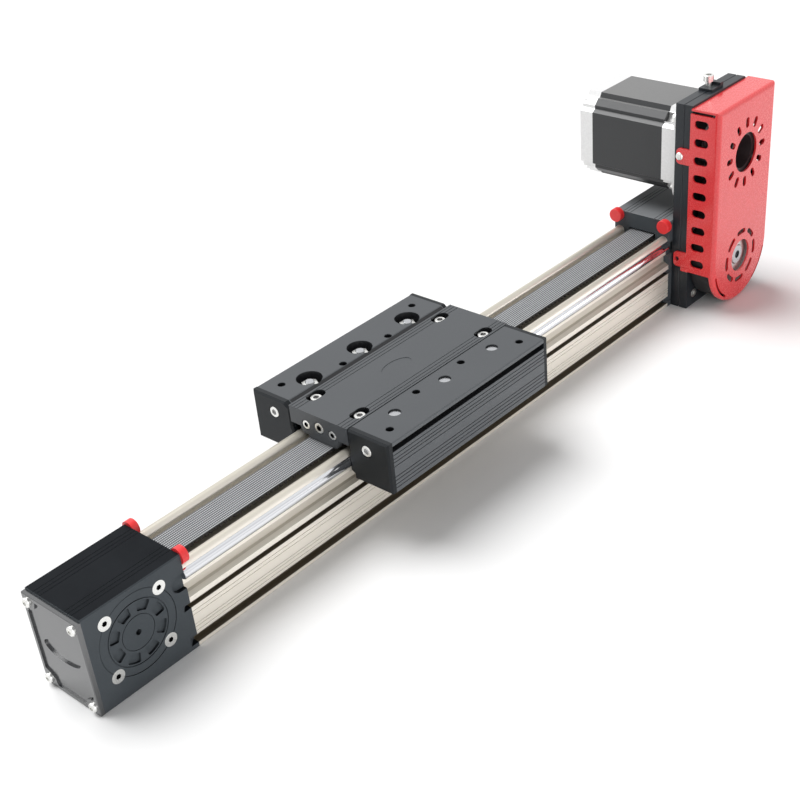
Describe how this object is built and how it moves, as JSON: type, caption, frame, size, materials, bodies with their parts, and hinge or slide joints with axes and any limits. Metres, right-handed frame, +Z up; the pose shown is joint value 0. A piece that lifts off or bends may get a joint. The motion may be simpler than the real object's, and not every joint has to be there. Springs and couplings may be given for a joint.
{
  "type": "belt driven linear axis",
  "caption": "Belt driven linear axis: aluminium profile with two guide rods, roller carriage, end housings and a side-mounted motor behind a red belt cover.",
  "frame": {"origin": "centre of the profile's underside", "axes": "+X along the axis to the drive end, -Y to the red belt cover's side, +Z up"},
  "size_m": [0.8596, 0.167, 0.228],
  "materials": {
    "anodised_profile": "champagne anodised, satin",
    "black_anodised": "black anodised, satin",
    "grey_anodised": "grey anodised, fine brushed",
    "cast_silver": "cast and machined, satin",
    "dark_plate": "black anodised plate, satin",
    "ground_steel": "ground and polished steel",
    "screw_steel": "bright zinc plated steel",
    "bearing_steel": "ground steel",
    "motor_black": "black satin paint",
    "belt_rubber": "moulded toothed belt",
    "bumper_rubber": "red moulded rubber",
    "guard_red": "red powder coat",
    "tank_plastic": "moulded dark plastic",
    "felt": "pressed felt"
  },
  "bodies": {
    "base": {"profile": "anodised_profile", "guide_rod_near": "ground_steel", "guide_rod_far": "ground_steel", "idler_housing": "black_anodised", "drive_housing": "black_anodised", "idler_end_cap": "black_anodised", "drive_end_cap": "black_anodised", "end_cap_screws": "screw_steel", "idler_cover_near": "black_anodised", "idler_cover_far": "black_anodised", "drive_cover_near": "black_anodised", "drive_cover_far": "black_anodised", "cover_screws": "screw_steel", "profile_end_screws": "screw_steel", "idler_bearings": "bearing_steel", "drive_bearings": "bearing_steel", "bumpers": "bumper_rubber", "main_belt": "belt_rubber", "motor_plate_back": "dark_plate", "motor_plate_front": "dark_plate", "plate_screws": "screw_steel", "tension_block": "dark_plate", "tension_screw": "screw_steel", "motor_front_flange": "cast_silver", "motor_stator": "motor_black", "motor_rear_bell": "cast_silver", "motor_screws": "screw_steel", "motor_bearings": "bearing_steel", "motor_lead_grommet": "belt_rubber", "side_belt": "belt_rubber", "belt_cover": "guard_red", "belt_cover_screws": "screw_steel"},
    "idler": {"idler_shaft": "ground_steel", "idler_pulley": "cast_silver"},
    "drive": {"drive_shaft": "ground_steel", "drive_pulley": "cast_silver", "driven_pulley": "cast_silver"},
    "motor_rotor_group": {"motor_rotor": "bearing_steel", "motor_pulley": "cast_silver"},
    "carriage": {"carriage_plate": "grey_anodised", "side_block_near": "grey_anodised", "side_block_far": "grey_anodised", "lubricator_caps_near": "tank_plastic", "lubricator_caps_far": "tank_plastic", "lubricator_screws": "screw_steel", "felt_wipers": "felt", "fixed_axles": "ground_steel", "eccentric_axles": "ground_steel", "axle_nuts": "screw_steel", "carriage_joint_screws": "screw_steel", "belt_clamps": "cast_silver", "clamp_screws": "screw_steel", "belt_ends": "belt_rubber"},
    "roller_n1": {"roller_near_1": "bearing_steel"},
    "roller_f1": {"roller_far_1": "bearing_steel"},
    "roller_n2": {"roller_near_2": "bearing_steel"},
    "roller_f2": {"roller_far_2": "bearing_steel"},
    "roller_n3": {"roller_near_3": "bearing_steel"},
    "roller_f3": {"roller_far_3": "bearing_steel"}
  },
  "joints": [
    {"name": "carriage_slide", "type": "slide", "parent": "base", "child": "carriage", "axis": [1, 0, 0], "range_m": [-0.172, 0.2555]},
    {"name": "drive_spin", "type": "hinge", "parent": "base", "child": "drive", "pos_m": [0.381, 0, 0.048], "axis": [0, 1, 0], "continuous": true},
    {"name": "idler_spin", "type": "hinge", "parent": "base", "child": "idler", "pos_m": [-0.3737, 0, 0.048], "axis": [0, 1, 0], "continuous": true},
    {"name": "motor_spin", "type": "hinge", "parent": "base", "child": "motor_rotor_group", "pos_m": [0.381, 0, 0.15824], "axis": [0, 1, 0], "continuous": true},
    {"name": "roller_n1_spin", "type": "hinge", "parent": "carriage", "child": "roller_n1", "pos_m": [-0.1048, -0.0485, 0.0686], "axis": [0, 0, 1], "continuous": true},
    {"name": "roller_f1_spin", "type": "hinge", "parent": "carriage", "child": "roller_f1", "pos_m": [-0.1048, 0.0485, 0.0686], "axis": [0, 0, 1], "continuous": true},
    {"name": "roller_n2_spin", "type": "hinge", "parent": "carriage", "child": "roller_n2", "pos_m": [-0.0418, -0.0485, 0.0686], "axis": [0, 0, 1], "continuous": true},
    {"name": "roller_f2_spin", "type": "hinge", "parent": "carriage", "child": "roller_f2", "pos_m": [-0.0418, 0.0485, 0.0686], "axis": [0, 0, 1], "continuous": true},
    {"name": "roller_n3_spin", "type": "hinge", "parent": "carriage", "child": "roller_n3", "pos_m": [0.0212, -0.0485, 0.0686], "axis": [0, 0, 1], "continuous": true},
    {"name": "roller_f3_spin", "type": "hinge", "parent": "carriage", "child": "roller_f3", "pos_m": [0.0212, 0.0485, 0.0686], "axis": [0, 0, 1], "continuous": true}
  ],
  "couplings": [
    {"joint": "drive_spin", "follows": "carriage_slide", "rad_per_m": 36.96},
    {"joint": "idler_spin", "follows": "carriage_slide", "rad_per_m": 36.96},
    {"joint": "motor_spin", "follows": "carriage_slide", "rad_per_m": 73.92},
    {"joint": "roller_n1_spin", "follows": "carriage_slide", "rad_per_m": 70.423},
    {"joint": "roller_f1_spin", "follows": "carriage_slide", "rad_per_m": -70.423},
    {"joint": "roller_n2_spin", "follows": "carriage_slide", "rad_per_m": 70.423},
    {"joint": "roller_f2_spin", "follows": "carriage_slide", "rad_per_m": -70.423},
    {"joint": "roller_n3_spin", "follows": "carriage_slide", "rad_per_m": 70.423},
    {"joint": "roller_f3_spin", "follows": "carriage_slide", "rad_per_m": -70.423}
  ]
}
